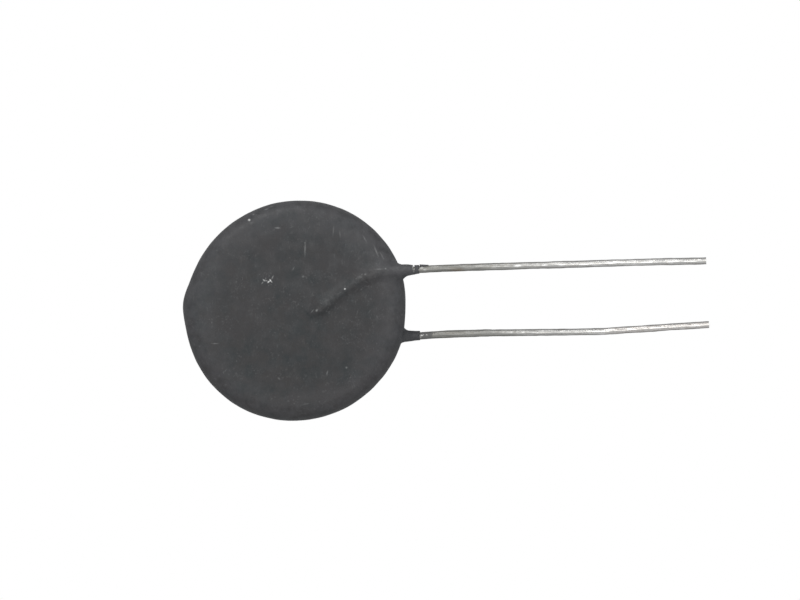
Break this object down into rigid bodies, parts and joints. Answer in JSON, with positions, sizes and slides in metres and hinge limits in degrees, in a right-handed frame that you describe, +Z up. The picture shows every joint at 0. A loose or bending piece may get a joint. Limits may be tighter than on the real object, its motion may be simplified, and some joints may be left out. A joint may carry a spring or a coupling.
{
  "type": "disc ntc resistor",
  "caption": "Round temperature-dependent resistor disc in a dark grey dipped coat, with long straight tinned wire leads leaving the rim side by side.",
  "frame": {"origin": "middle of the part's bounding box seen from above, at the height of the surface that the part lies on", "axes": "+X along the leads, from the disc towards their cut ends; +Y across the leads, from the back lead's side to the front lead's side; +Z up, out of the disc's front face"},
  "size_m": [0.0638, 0.0266, 0.0066],
  "materials": {
    "coating": "dark grey dipped resin, dull with a soft sheen",
    "ceramic": "sintered, unglazed, nearly black",
    "electrode": "fired silver paste, matt",
    "solder": "solidified tin solder, satin",
    "lead_wire": "hot-tinned wire, satin, slightly uneven"
  },
  "bodies": {
    "root": {"coating": "coating", "ceramic_disc": "ceramic", "front_electrode": "electrode", "back_electrode": "electrode", "front_solder_joint": "solder", "back_solder_joint": "solder", "front_lead": "lead_wire", "back_lead": "lead_wire"}
  },
  "joints": []
}
